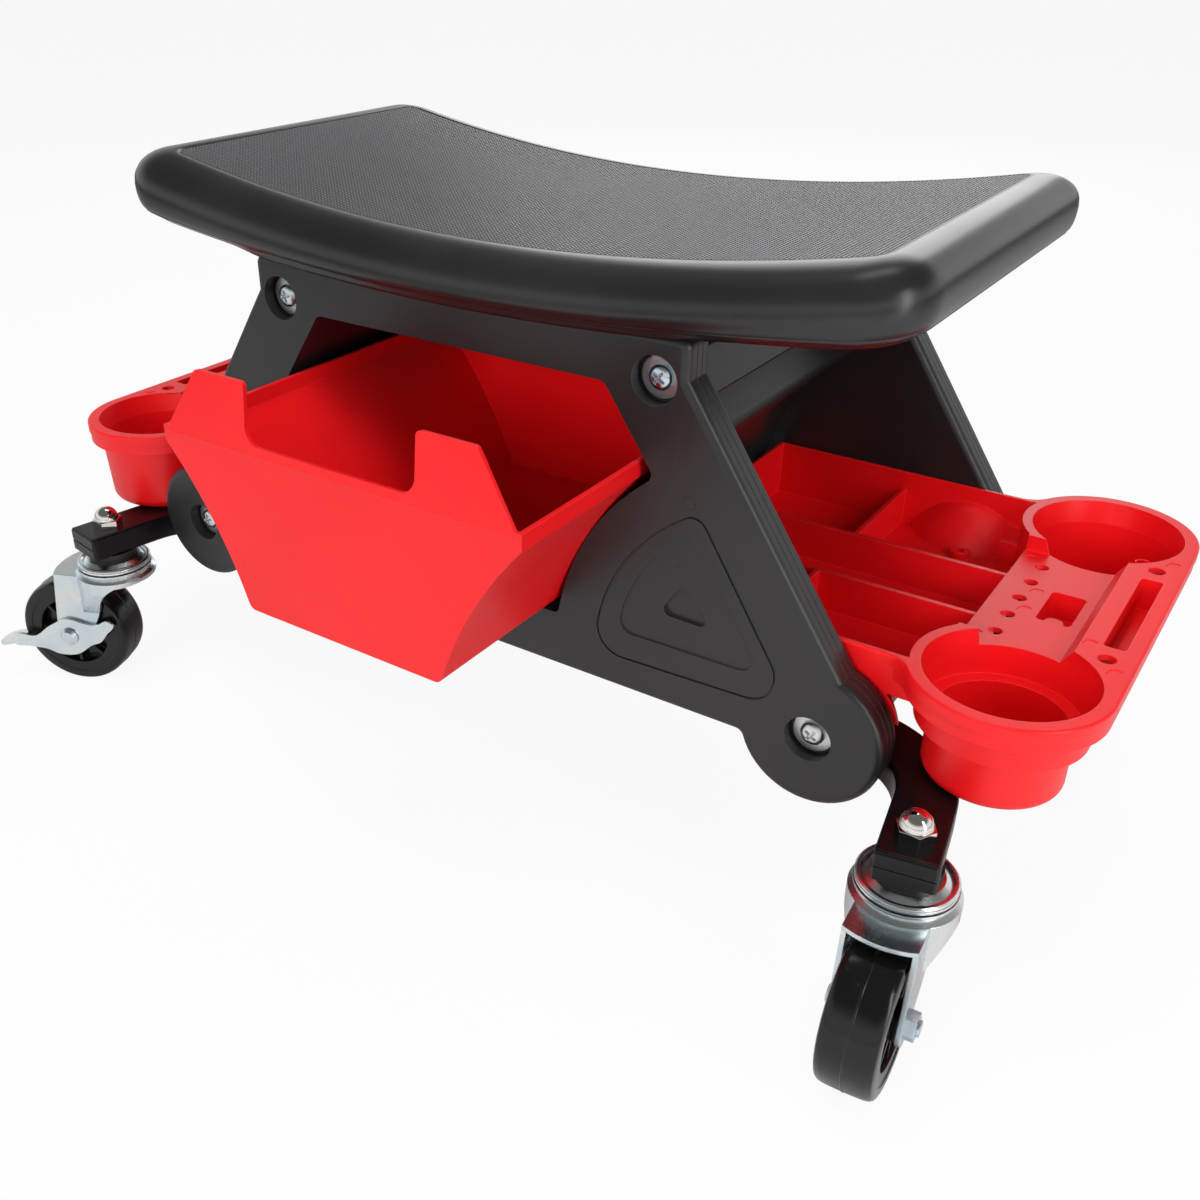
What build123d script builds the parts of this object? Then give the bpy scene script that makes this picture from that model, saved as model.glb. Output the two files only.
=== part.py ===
from build123d import *
import math
import os

os.makedirs("parts", exist_ok=True)

# Workshop stool on four swivel casters. Millimetres, +Z up, floor at z = 0.
# The long side runs along X and the drawer opens towards -Y.

# Fits shared by several pieces
touch = 0.3           # gap left between pieces that rest on each other
running = 0.05        # radial play of a pin in its bore
thread_play = 0.05    # radial play of a screw in its threaded hole
loose = 0.4           # radial play of a screw in a through hole

# Casters: wheel, trail and heights
wheel_r = 40.0
wheel_half = 14.3
wheel_edge_r = 3.5
trail = 33.5
axle_z = wheel_r
tread_groove = 0.6
dish_r = 24.5
dish_deep = 7.0
hub_r = 10.0
rib_count = 8
rib_thick = 2.2
ring_step_r = 32.0
ring_step = 0.5
bush_r = 6.5
bush_wall = 2.4
axle_r = bush_r - bush_wall - running
bush_half = 15.0

# Fork, pressed from zinc plated sheet
sheet = 2.5
leg_gap_half = bush_half + touch
leg_out = leg_gap_half + sheet
crown_r = 26.8
crown_top = 93.0
crown_neck_r = 23.0
crown_neck_z = 90.4
crown_lip_r = 24.8
crown_lip = 1.4
flare_low = 60.0
flare_high = 80.0
hood_top = 88.0
hood_front = 38.0
hood_bulge = 4.0
hood_low = 85.7
leg_front_low = 42.4
leg_front_z = 49.3
lug_r = 11.5
leg_back_shares = ((-0.27, 1.108), (-0.0975, 0.9875), (0.145, 0.6175), (0.31, 0.2725))

# Kingpin with the upper race, and what clamps it to the arm
king_r = 5.0
king_head_r = 9.0
king_head_t = 3.0
race_r = 24.4
race_low = 94.0
race_flat = 95.2
race_top = 98.7
race_rim_top = 97.6
race_seat_r = 17.5
race_dip_r = 21.0
race_dip = 96.4
race_rim = 2.4
race_groove = 0.7
race_groove_low = 95.4
race_groove_top = 96.1
seal_r = 16.0
stem_tip = 1.0

# Caster arms, bent rectangular tube
arm_w = 30.0
arm_h = 16.5
arm_top = 121.0
arm_wall = 2.0
arm_corner = 2.0
arm_tilt = 10.0
arm_past = 17.0
arm_before = 28.8
arm_bend_r = 53.0
arm_inner_x = 195.0
pivot_x = 286.0
pivot_y = 159.0
plug_cap = 3.0
plug_long = 11.0
plug_groove = 1.0
plug_edge = 1.2

# Domed cap nut on the stem
nut_flats = 17.0
nut_h = 5.7
nut_dome_r = 8.0
nut_chamfer = 1.2
nut_deep = 10.0

# Axle ends
head_r = 6.5
head_h = 3.6
axle_nut_flats = 13.0
axle_nut_h = 4.8
axle_stub = 1.5

# Brake lever on two of the casters, shares of the wheel radius about the axle
lever_t = 2.0
lever_off = leg_out + touch
lever_shares = (
    (0.18, 0.28), (-0.09, 0.34), (-0.39, 0.275), (-0.62, 0.31), (-0.79, 0.38), (-0.88, 0.30),
    (-0.76, 0.14), (-0.58, -0.07), (-0.44, -0.13), (-0.14, -0.34), (0.10, -0.40), (0.33, -0.38),
    (0.45, -0.335), (0.69, -0.31), (0.93, -0.31), (1.13, -0.29), (1.17, -0.20), (1.13, -0.11),
    (0.90, -0.07), (0.71, -0.08), (0.45, 0.10),
)
pedal_start = 1.04 * wheel_r
pedal_end = 61.0
pedal_in = 2.0
pedal_z = -8.5
pedal_drop = 5.5
pedal_round = 7.0

# Side frames
frame_in = 110.3
frame_t = 21.5
frame_top = 321.0
frame_head_x = 141.0
frame_head_z = 301.0
frame_neck = (148.3, 290.4)
frame_slant_end = (232.4, 167.3)
frame_low = 120.5
foot_x = 219.0
foot_z = 131.0
foot_r = 38.5
frame_corner_r = 5.0
frame_edge_r = 4.5
foot_fillet = 4.0
parting = 0.6
parting_deep = 0.5
parting_off = 2.4

# Opening through both frames, drawer housing and drawer follow it
open_low = 154.5
open_low_x = 69.0
open_mid = (86.4, 205.5)
open_tip = (125.4, 249.0)
open_top = 293.0
open_top_x = 94.8
open_top_r = 6.0
open_tip_r = 5.0
open_low_r = 4.0

# Raised and sunk triangles on each leg: three corners, a point on the bowed side
# and the corner radii, as shares of foot_x and frame_top
leg_mark_shares = (
    ((0.690, 0.741), (0.500, 0.620), (0.422, 0.4345), (0.968, 0.4455), (0.030, 0.050, 0.050)),
    ((0.672, 0.702), (0.540, 0.600), (0.488, 0.4875), (0.884, 0.4900), (0.022, 0.024, 0.026)),
    ((0.668, 0.613), (0.626, 0.575), (0.600, 0.5440), (0.738, 0.5420), (0.012, 0.012, 0.012)),
)
mark_groove = 1.4
mark_groove_deep = 1.2
mark_ledge = 1.0
mark_sink = 3.0
bolt_sink_r = 12.5
bolt_sink = 9.0
head_bolt_x = 123.0
head_bolt_z = 298.5

# Tubes from frame to frame
low_tube = 20.0
high_tube = 30.0
tube_wall = 1.6
tube_corner = 2.0
tube_end = 8.0
collar_r = 20.0
collar_long = 18.0

# Frame screws and washers
screw_r = 3.5
screw_head_r = 6.4
screw_head_h = 4.2
screw_long = 22.0
cross_w = 1.5
cross_l = 6.6
cross_deep = 2.2
washer_r = 11.0
washer_t = 1.5

# Seat
seat_half_x = 245.0
seat_half_y = 127.0
seat_mid_z = 343.4
seat_top_r = 1030.0
seat_skirt_z = 316.9
seat_skirt_r = 1600.0
seat_corner_r = 20.0
seat_rim_r = 14.0
seat_low_r = 2.5
seat_wall = 4.0
seat_line_up = 6.0
seat_line = 0.8
panel_half_x = 224.0
panel_half_y = 109.0
panel_corner = 8.0
panel_deep = 0.8
seat_rib = 3.0
seat_rib_deep = 12.0
seat_pad_drop = 8.0
seat_rib_ys = (-62.0, 0.0, 62.0)
seat_rib_xs = (-180.0, -60.0, 60.0, 180.0)
seat_pad_x = 26.0
seat_pad_y = 150.0
seat_pad_wall = 3.0

# Drawer housing between the frames
house_wall = 3.0
skid = 5.0
skid_w = 8.0
skid_x = 42.0

# Drawer
drawer_front = 230.0
drawer_deep = 240.0
drawer_low = 159.8
drawer_low_x = 65.7
drawer_mid = (81.0, 196.5)
drawer_side_x = 116.0
drawer_side_z = 247.0
drawer_rim_z = 255.4
drawer_wall = 2.6
drawer_low_r = 5.0
horn_top = 289.8
horn_in_x = 55.2
horn_out_x = 89.7
horn_base_x = 114.0
notch_z = 257.9
notch_r = 9.0
horn_r = 3.0
horn_lean = 6.5

# Trays
tray_in_x = 86.0
tray_side_gap = 0.8
tray_half_y = frame_in - tray_side_gap
tray_top = 179.0
tray_low = 141.3
tray_wall = 3.0
tray_floor = 3.5
divider_y = 26.5
divider_t = 3.0
divider_top = 168.0
cross_divider_x = 174.0
deck_x = 264.0
deck_foot_x = 313.5
deck_end_x = 319.2
deck_half_y = 60.0
deck_z = 170.0
deck_t = 3.0
tray_end_x = 348.0
cup_x = 299.5
cup_y = 92.0
cup_out_r = 48.5
cup_rim_r = 46.5
cup_in_r = 41.0
cup_wall = 3.0
cup_skirt_z = 166.0
cup_lip_z = 173.0
cup_lip = 0.8
cup_join_r = 16.0
cup_low = arm_top + touch
tray_edge_r = 1.2
step_r_1 = 41.0
step_z_1 = 151.5
step_r_2 = 34.0
plain_r_top = 41.0
plain_r_low = 38.4
cup_low_r = 6.0
corner_x = 247.0
corner_y = 86.0
corner_z = 157.0
tool_hole_r = 3.75
tool_hole_x = 278.0
tool_hole_pitch = 21.0
tool_hole_count = 5
pocket_x = 299.9
pocket_w = 17.8
pocket_l = 35.0
pocket_low = 152.0
pocket_wall = 2.5
pocket_corner = 2.5
pocket_post_r = 5.0
pocket_post_in = 3.0
pocket_post_drop = 1.5
bar_hole_x = 334.0
bar_hole_y = 54.4
bar_hole_r = 4.5
slot_x = 334.5
slot_w = 11.0
slot_l = 84.0
slot_low = 158.0
slot_corner = 2.0
slot_rib_w = 5.0
slot_rib_l = 68.0
slot_rib_h = 2.0
dome_x = 218.0
dome_y = 121.7
dome_z = 130.5
dome_r = 41.7
boss_x = 222.0
boss_y = 80.0
boss_r = 6.0
boss_h = 4.0
boss_pit_r = 2.5

# Corner name, sign of x, sign of y, brake or not, then where each caster trails to
corners = (
    ("front_right", 1, -1, False),
    ("front_left", -1, -1, True),
    ("back_left", -1, 1, False),
    ("back_right", 1, 1, True),
)
trail_degrees = (274.0, 203.0, 94.0, 152.0)


def save(name, shape):
    export_step(shape, "parts/" + name + ".step")


def many(shapes):
    return Compound(children=list(shapes))


def nearest(shape, point):
    return shape.vertices().sort_by_distance(Vertex(*point))[0]


def round_at(sketch, point, radius):
    return fillet(nearest(sketch, point), radius)


def box(x0, x1, y0, y1, z0, z1):
    block = Box(x1 - x0, y1 - y0, z1 - z0, align=(Align.MIN, Align.MIN, Align.MIN))
    return Pos(x0, y0, z0) * block


def prism(sketch, z0, z1):
    return Pos(0, 0, z0) * extrude(sketch, amount=z1 - z0)


def rect(x0, x1, y0, y1):
    return Pos((x0 + x1) / 2, (y0 + y1) / 2) * Rectangle(x1 - x0, y1 - y0)


def rod(radius, z0, z1, x=0.0, y=0.0):
    return Pos(x, y, z0) * Cylinder(radius, z1 - z0, align=(Align.CENTER, Align.CENTER, Align.MIN))


def turned(points):
    # Closed profile of (radius, height) corners turned about the z axis
    profile = make_face(Polyline(*points, close=True))
    return revolve(Plane.XZ * profile, Axis.Z)


def mirrored_face(half):
    # Right half of an outline, from the bottom middle to the top middle, and its mirror
    edges = list(half)
    edges += [mirror(edge, Plane.YZ) for edge in half]
    return make_face(edges)


def slab(sketch, y_low, y_high):
    # Sketch drawn in x and z, given thickness along Y
    return extrude(Plane.XZ.offset(-y_high) * sketch, amount=y_high - y_low)


def along_y(radius, y_low, y_high, x, z):
    return Pos(x, y_low, z) * Rot(-90, 0, 0) * rod(radius, 0, y_high - y_low)


# Outlines shared by frame, housing and drawer

def opening():
    half = [
        Line((0, open_low), (open_low_x, open_low)),
        ThreePointArc((open_low_x, open_low), open_mid, open_tip),
        Line(open_tip, (open_top_x, open_top)),
        Line((open_top_x, open_top), (0, open_top)),
    ]
    face = mirrored_face(half)
    for side in (1, -1):
        face = round_at(face, (side * open_tip[0], open_tip[1]), open_tip_r)
        face = round_at(face, (side * open_top_x, open_top), open_top_r)
        face = round_at(face, (side * open_low_x, open_low), open_low_r)
    return face


# Side frames

def leg_mark(shares):
    top, bow, low_in, low_out, radii = shares
    x_top, z_top = top[0] * foot_x, top[1] * frame_top
    bow_pt = (bow[0] * foot_x, bow[1] * frame_top)
    a_pt = (low_in[0] * foot_x, low_in[1] * frame_top)
    b_pt = (low_out[0] * foot_x, low_out[1] * frame_top)
    face = make_face([
        ThreePointArc((x_top, z_top), bow_pt, a_pt),
        Line(a_pt, b_pt),
        Line(b_pt, (x_top, z_top)),
    ])
    for point, share in zip(((x_top, z_top), a_pt, b_pt), radii):
        face = round_at(face, point, share * frame_top)
    return face


def frame_outline():
    half = [
        Line((0, frame_low), (foot_x, frame_low)),
        Line((foot_x, frame_low), frame_slant_end),
        Line(frame_slant_end, frame_neck),
        Line(frame_neck, (frame_head_x, frame_head_z)),
        Line((frame_head_x, frame_head_z), (frame_head_x, frame_top)),
        Line((frame_head_x, frame_top), (0, frame_top)),
    ]
    face = mirrored_face(half)
    for side in (1, -1):
        face = round_at(face, (side * frame_head_x, frame_top), frame_corner_r)
        face += Pos(side * foot_x, foot_z) * Circle(foot_r)
    meet_x = foot_x - math.sqrt(foot_r ** 2 - (foot_z - frame_low) ** 2)
    for side in (1, -1):
        face = round_at(face, (side * meet_x, frame_low), foot_fillet)
    return face


def side_frame():
    outer = frame_in + frame_t
    outline = frame_outline()
    plate = slab(outline, -outer, -frame_in)
    rims = [face.outer_wire().edges() for face in plate.faces().filter_by(Axis.Y)]
    plate = fillet([edge for rim in rims for edge in rim], frame_edge_r)
    plate -= slab(opening(), -outer, -frame_in)
    middle = -frame_in - frame_t / 2
    for off in (-parting_off, parting_off):
        ring = outline - offset(outline, amount=-parting_deep)
        plate -= slab(ring, middle + off - parting / 2, middle + off + parting / 2)
    groove, step, sink = (leg_mark(shares) for shares in leg_mark_shares)
    groove = groove - offset(groove, amount=-mark_groove)
    cuts = (
        (groove, mark_groove_deep),
        (step, mark_ledge),
        (sink, mark_sink),
    )
    for sketch, deep in cuts:
        cut = slab(sketch, -outer, -outer + deep)
        plate -= cut
        plate -= mirror(cut, Plane.YZ)
    for side in (1, -1):
        for x, z in ((foot_x, foot_z), (head_bolt_x, head_bolt_z)):
            plate -= along_y(bolt_sink_r, -outer, -outer + bolt_sink, side * x, z)
            plate -= along_y(screw_r + loose, -outer, -frame_in, side * x, z)
        collar = along_y(collar_r, -frame_in, -frame_in + collar_long, side * foot_x, foot_z)
        half = low_tube / 2 + touch
        x_low, x_high = side * foot_x - half, side * foot_x + half
        hole = box(x_low, x_high, -frame_in, 0, foot_z - half, foot_z + half)
        x_low, x_high = side * foot_x - collar_r, side * foot_x + collar_r
        below = box(x_low, x_high, -frame_in, 0, 0, arm_top + touch)
        plate += collar - hole - below
    return plate


# Tubes from frame to frame

def cross_tube(x, z, size):
    section = RectangleRounded(size, size, tube_corner)
    inside = Rectangle(size - 2 * tube_wall, size - 2 * tube_wall)
    tube = slab(Pos(x, z) * section, -frame_in, frame_in)
    tube -= slab(Pos(x, z) * inside, -frame_in + tube_end, frame_in - tube_end)
    for side in (1, -1):
        low, high = sorted((side * frame_in, side * (frame_in - tube_end)))
        tube -= along_y(screw_r + thread_play, low, high, x, z)
    return tube


def frame_fixings():
    screws, washers = [], []
    floor_y = frame_in + frame_t - bolt_sink
    for x, z in ((foot_x, foot_z), (head_bolt_x, head_bolt_z)):
        washer = rod(washer_r, 0, washer_t) - rod(screw_r + loose, 0, washer_t)
        head = turned((
            (0, 0), (screw_head_r, 0), (screw_head_r, screw_head_h / 3),
            (screw_head_r * 2 / 3, screw_head_h), (0, screw_head_h),
        ))
        screw = Pos(0, 0, washer_t) * head + rod(screw_r, washer_t - screw_long, washer_t)
        top = washer_t + screw_head_h
        for turn in (0, 90):
            blade = box(-cross_l / 2, cross_l / 2, -cross_w / 2, cross_w / 2, top - cross_deep, top)
            screw -= Rot(0, 0, turn + 45) * blade
        for sx in (1, -1):
            for turn in (0, 180):
                place = Rot(0, 0, turn) * Pos(sx * x, -floor_y, z) * Rot(90, 0, 0)
                washers.append(place * washer)
                screws.append(place * screw)
    return many(screws), many(washers)


# Seat: a moulded shell whose top is a shallow saddle along X

def seat_band(low_z, low_r, high_z, high_r, half_x):
    # Region between two arcs that both rise towards the ends
    low_end = low_z + half_x ** 2 / (2 * low_r)
    high_end = high_z + half_x ** 2 / (2 * high_r)
    return make_face([
        ThreePointArc((-half_x, low_end), (0, low_z), (half_x, low_end)),
        Line((half_x, low_end), (half_x, high_end)),
        ThreePointArc((half_x, high_end), (0, high_z), (-half_x, high_end)),
        Line((-half_x, high_end), (-half_x, low_end)),
    ])


def seat_block(inset, corner, rim, drop):
    plan = RectangleRounded(2 * (seat_half_x - inset), 2 * (seat_half_y - inset), corner)
    column = Pos(0, 0, seat_skirt_z - drop) * extrude(plan, amount=frame_top)
    band = seat_band(
        seat_skirt_z - drop, seat_skirt_r, seat_mid_z - inset, seat_top_r, seat_half_x + seat_wall,
    )
    block = column & slab(band, -seat_half_y - seat_wall, seat_half_y + seat_wall)
    top = block.faces().sort_by(SortBy.AREA)[-1]
    for face in block.faces():
        if face.center().Z > top.center().Z and face.area > top.area / 2:
            top = face
    return fillet(top.outer_wire().edges(), rim)


def seat():
    outer = seat_block(0, seat_corner_r, seat_rim_r, 0)
    bottom = outer.faces().sort_by(Axis.Z)[0]
    outer = fillet(bottom.outer_wire().edges(), seat_low_r)
    hollow = seat_block(seat_wall, seat_corner_r - seat_wall, seat_rim_r - seat_wall, seat_wall)
    shell = outer - hollow
    shell -= box(-seat_half_x, seat_half_x, -seat_half_y, seat_half_y, 0, frame_top)
    ribs, pads = [], []
    for y in seat_rib_ys:
        ribs.append(box(-seat_half_x, seat_half_x, y - seat_rib / 2, y + seat_rib / 2, 0, 2 * frame_top))
    for x in seat_rib_xs:
        ribs.append(box(x - seat_rib / 2, x + seat_rib / 2, -seat_half_y, seat_half_y, 0, 2 * frame_top))
    pad_low = head_bolt_z + high_tube / 2 + touch
    for x in (-head_bolt_x, head_bolt_x):
        pad = rect(x - seat_pad_x / 2, x + seat_pad_x / 2, -seat_pad_y / 2, seat_pad_y / 2)
        pad -= offset(pad, amount=-seat_pad_wall)
        pads.append(prism(pad, pad_low, 2 * frame_top))
    pad_reach = seat_block(seat_wall / 2, seat_corner_r, seat_rim_r - seat_wall / 2, seat_pad_drop)
    for pad in pads:
        shell += pad & pad_reach
    rib_band = seat_band(
        seat_mid_z - seat_wall - seat_rib_deep, seat_top_r, seat_mid_z, seat_top_r, seat_half_x,
    )
    rib_reach = pad_reach & slab(rib_band, -seat_half_y, seat_half_y)
    for rib in ribs:
        shell += rib & rib_reach
    line = seat_band(
        seat_skirt_z + seat_line_up, seat_skirt_r, seat_skirt_z + seat_line_up + seat_line, seat_skirt_r,
        seat_half_x + seat_wall,
    )
    plan_in = RectangleRounded(
        2 * (seat_half_x - seat_line), 2 * (seat_half_y - seat_line), seat_corner_r - seat_line,
    )
    groove = slab(line, -seat_half_y - seat_wall, seat_half_y + seat_wall)
    groove -= Pos(0, 0, seat_skirt_z) * extrude(plan_in, amount=seat_mid_z)
    groove -= box(-frame_head_x, frame_head_x, -2 * seat_half_y, 2 * seat_half_y, 0, 2 * frame_top)
    shell -= groove
    panel = RectangleRounded(2 * panel_half_x, 2 * panel_half_y, panel_corner)
    lower = seat_band(
        seat_mid_z - panel_deep, seat_top_r, seat_mid_z + seat_wall, seat_top_r, seat_half_x,
    )
    pocket = slab(lower, -panel_half_y, panel_half_y)
    pocket &= Pos(0, 0, seat_skirt_z) * extrude(panel, amount=seat_mid_z)
    return shell - pocket


# Drawer housing: a sleeve with the outline of the opening

def housing():
    inner = opening()
    outer = offset(inner, amount=house_wall)
    sleeve = slab(outer, -frame_in, frame_in) - slab(inner, -frame_in, frame_in)
    for side in (1, -1):
        x = side * skid_x
        sleeve += box(x - skid_w / 2, x + skid_w / 2, -frame_in, frame_in, open_low, open_low + skid)
    return sleeve


# Drawer

def drawer_section(inset, top):
    low_z = drawer_low + inset
    half = [
        Line((0, low_z), (drawer_low_x - inset, low_z)),
        ThreePointArc(
            (drawer_low_x - inset, low_z), (drawer_mid[0] - inset, drawer_mid[1]),
            (drawer_side_x - inset, drawer_side_z),
        ),
        Line((drawer_side_x - inset, drawer_side_z), (drawer_side_x - inset, top)),
        Line((drawer_side_x - inset, top), (0, top)),
    ]
    face = mirrored_face(half)
    for side in (1, -1):
        face = round_at(face, (side * (drawer_low_x - inset), low_z), drawer_low_r)
    return face


def horns():
    # Front panel above the rim: two horns with a wide notch between them
    half = [
        Line((0, drawer_rim_z - horn_r), (horn_base_x, drawer_rim_z - horn_r)),
        Line((horn_base_x, drawer_rim_z - horn_r), (horn_out_x, horn_top)),
        Line((horn_out_x, horn_top), (horn_in_x, horn_top)),
        Line((horn_in_x, horn_top), (horn_in_x, notch_z)),
        Line((horn_in_x, notch_z), (0, notch_z)),
    ]
    face = mirrored_face(half)
    for side in (1, -1):
        face = round_at(face, (side * horn_in_x, notch_z), notch_r)
        face = round_at(face, (side * horn_in_x, horn_top), horn_r)
        face = round_at(face, (side * horn_out_x, horn_top), horn_r)
    panel = slab(face, 0, drawer_wall)
    leaned = Pos(0, 0, drawer_rim_z) * Rot(-horn_lean, 0, 0) * Pos(0, 0, -drawer_rim_z) * panel
    return Pos(0, -drawer_front, 0) * leaned


def drawer():
    back = -drawer_front + drawer_deep
    body = slab(drawer_section(0, drawer_rim_z), -drawer_front, back)
    inside = slab(drawer_section(drawer_wall, drawer_rim_z), -drawer_front + drawer_wall, back - drawer_wall)
    return body - inside + horns()


# Trays: one moulding with channels, a deck with tool holes and two cups

def cup_outer(y, stepped):
    base = cup_low
    if stepped:
        body = rod(step_r_1, step_z_1, cup_skirt_z, cup_x, y)
        foot = rod(step_r_2, base, step_z_1, 0, 0)
        foot = fillet(foot.edges().sort_by(Axis.Z)[0], cup_low_r)
        return body + Pos(cup_x, y, 0) * foot
    cone = Pos(cup_x, y, base) * Cone(
        plain_r_low, plain_r_top, cup_skirt_z - base, align=(Align.CENTER, Align.CENTER, Align.MIN),
    )
    return fillet(cone.edges().sort_by(Axis.Z)[0], cup_low_r)


def cup_inner(y, stepped):
    floor = cup_low + cup_wall
    if stepped:
        points = (
            (0, floor), (step_r_2 - cup_wall, floor), (step_r_2 - cup_wall, step_z_1 + cup_wall),
            (step_r_1 - cup_wall, step_z_1 + cup_wall), (cup_in_r, tray_top), (0, tray_top),
        )
    else:
        points = (
            (0, floor), (plain_r_low - cup_wall, floor), (plain_r_top - cup_wall, cup_skirt_z),
            (cup_in_r, tray_top), (0, tray_top),
        )
    return Pos(cup_x, y, 0) * turned(points)


def tray_plan():
    # Outline of the rim: side walls that run smoothly into the round of each cup
    plan = rect(tray_in_x, cup_x, -tray_half_y, tray_half_y)
    plan += rect(cup_x, tray_end_x, -cup_y, cup_y)
    for y in (-cup_y, cup_y):
        plan += Pos(cup_x, y) * Circle(cup_out_r)
    meet_x = cup_x - math.sqrt(cup_out_r ** 2 - (tray_half_y - cup_y) ** 2)
    for side in (1, -1):
        plan = round_at(plan, (meet_x, side * tray_half_y), cup_join_r)
    return plan


def tray():
    # Right-hand tray: the stepped cup stands in front
    plan = tray_plan()
    rim = prism(plan, cup_lip_z, tray_top)
    rim = fillet(rim.faces().sort_by(Axis.Z)[-1].outer_wire().edges(), tray_edge_r)
    block = rim + prism(offset(plan, amount=-cup_lip), cup_skirt_z, cup_lip_z)
    block += prism(rect(tray_in_x, deck_x + tray_wall, -tray_half_y, tray_half_y), tray_low, cup_lip_z)
    inner_y = tray_half_y - tray_wall
    cups = Sketch() + [Pos(cup_x, y) * Circle(cup_rim_r) for y in (-cup_y, cup_y)]
    channel = rect(tray_in_x + tray_wall, deck_x, -inner_y, inner_y) - cups
    block -= prism(channel, tray_low + tray_floor, tray_top)
    deck = make_face(Polyline(
        (deck_x - tray_wall, deck_z), (deck_foot_x, deck_z), (deck_end_x, tray_top),
        (deck_x - tray_wall, tray_top), close=True,
    ))
    block -= slab(deck, -deck_half_y, deck_half_y)
    hollow = rect(deck_x + tray_wall, tray_end_x - tray_wall, -cup_y, cup_y) - cups
    block -= prism(hollow, cup_skirt_z, deck_z - deck_t)
    bar = rect(deck_end_x + tray_wall, tray_end_x - tray_wall, -cup_y, cup_y) - cups
    block -= prism(bar, cup_skirt_z, tray_top - deck_t)
    for side in (1, -1):
        # The outer corner of each bin is raised, where the arch over a caster runs out
        low_y, high_y = sorted((side * (corner_y - tray_wall), side * inner_y))
        block += box(corner_x - tray_wall, deck_x, low_y, high_y, tray_low, corner_z + tray_wall)
        low_y, high_y = sorted((side * corner_y, side * tray_half_y))
        block -= box(corner_x, deck_x + tray_wall, low_y, high_y, tray_low, corner_z)
    for y in (-divider_y, divider_y):
        block += box(
            tray_in_x + tray_wall / 2, deck_x + tray_wall, y - divider_t / 2, y + divider_t / 2,
            tray_low + tray_floor / 2, divider_top,
        )
    for low, high in ((-inner_y, -divider_y), (divider_y, inner_y)):
        block += box(
            cross_divider_x - divider_t / 2, cross_divider_x + divider_t / 2, low - tray_wall / 2,
            high + tray_wall / 2, tray_low + tray_floor / 2, divider_top,
        )
    for y, stepped in ((-cup_y, True), (cup_y, False)):
        block += cup_outer(y, stepped)
        block -= cup_inner(y, stepped)
    return tray_details(block)


def tray_details(block):
    for index in range(tool_hole_count):
        y = (index - (tool_hole_count - 1) / 2) * tool_hole_pitch
        block -= rod(tool_hole_r, deck_z - 2 * deck_t, deck_z, tool_hole_x, y)
    wells = (
        (pocket_x, pocket_w, pocket_l, pocket_low, deck_z, pocket_corner),
        (slot_x, slot_w, slot_l, slot_low, tray_top, slot_corner),
    )
    for x, w, l, low, top, corner in wells:
        grow = 2 * pocket_wall
        block += prism(Pos(x, 0) * RectangleRounded(w + grow, l + grow, corner), low, top - deck_t / 2)
        block -= prism(Pos(x, 0) * RectangleRounded(w, l, corner), low + pocket_wall, top)
    # A round post stands against one end wall of the pocket in the deck
    post_y = -pocket_l / 2 + pocket_post_in
    block += rod(pocket_post_r, pocket_low, deck_z - pocket_post_drop, pocket_x, post_y)
    rib_top = slot_low + pocket_wall + slot_rib_h
    block += prism(Pos(slot_x, 0) * Rectangle(slot_rib_w, slot_rib_l), slot_low, rib_top)
    for y in (-bar_hole_y, bar_hole_y):
        block -= rod(bar_hole_r, tray_top - 2 * deck_t, tray_top, bar_hole_x, y)
    inner_y = tray_half_y - tray_wall
    for side in (1, -1):
        ball = Pos(dome_x, side * dome_y, dome_z) * Sphere(dome_r)
        void = Pos(dome_x, side * dome_y, dome_z) * Sphere(dome_r - tray_wall)
        low_y, high_y = sorted((0, side * tray_half_y))
        inside = box(tray_in_x, tray_end_x, low_y, high_y, tray_low, tray_top)
        block += ball & inside
        block -= void & box(0, tray_end_x, low_y * 2, high_y * 2, 0, tray_top)
        top = tray_low + tray_floor + boss_h
        block += rod(boss_r, tray_low, top, boss_x, side * boss_y)
        block -= rod(boss_pit_r, tray_low + tray_floor, top, boss_x, side * boss_y)
    return block


# Caster arms

def arm_path(shift):
    # Centre line in plan for the front right corner, from the outer end inwards
    tilt = math.radians(arm_tilt)
    away = Vector(math.sin(tilt), -math.cos(tilt))
    side = Vector(-math.cos(tilt), -math.sin(tilt))
    pivot = Vector(pivot_x, -pivot_y)
    start = pivot + away * (arm_past + shift)
    bend = pivot - away * arm_before
    centre = bend + side * arm_bend_r
    turn = math.radians(90 - arm_tilt)

    def on_bend(angle):
        c, s = math.cos(angle), math.sin(angle)
        out = -side
        return centre + Vector(out.X * c - out.Y * s, out.X * s + out.Y * c) * arm_bend_r

    stop = on_bend(turn)
    return [
        Line(start, bend),
        ThreePointArc(bend, on_bend(turn / 2), stop),
        Line(stop, Vector(arm_inner_x - shift, stop.Y)),
    ]


def swept(section_w, section_h, corner, shift):
    edges = arm_path(shift)
    path = Wire(edges)
    start = edges[0] @ 0
    plane = Plane(origin=(start.X, start.Y, arm_top - arm_h / 2), x_dir=(0, 0, 1), z_dir=edges[0] % 0)
    if corner > 0:
        section = RectangleRounded(section_h, section_w, corner)
    else:
        section = Rectangle(section_h, section_w)
    return sweep(plane * section, path=Pos(0, 0, arm_top - arm_h / 2) * path)


def corner_turn(shape, sx, sy):
    # From the front right corner to another one
    if sx < 0:
        shape = mirror(shape, Plane.YZ)
    if sy > 0:
        shape = mirror(shape, Plane.XZ)
    return shape


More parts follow.
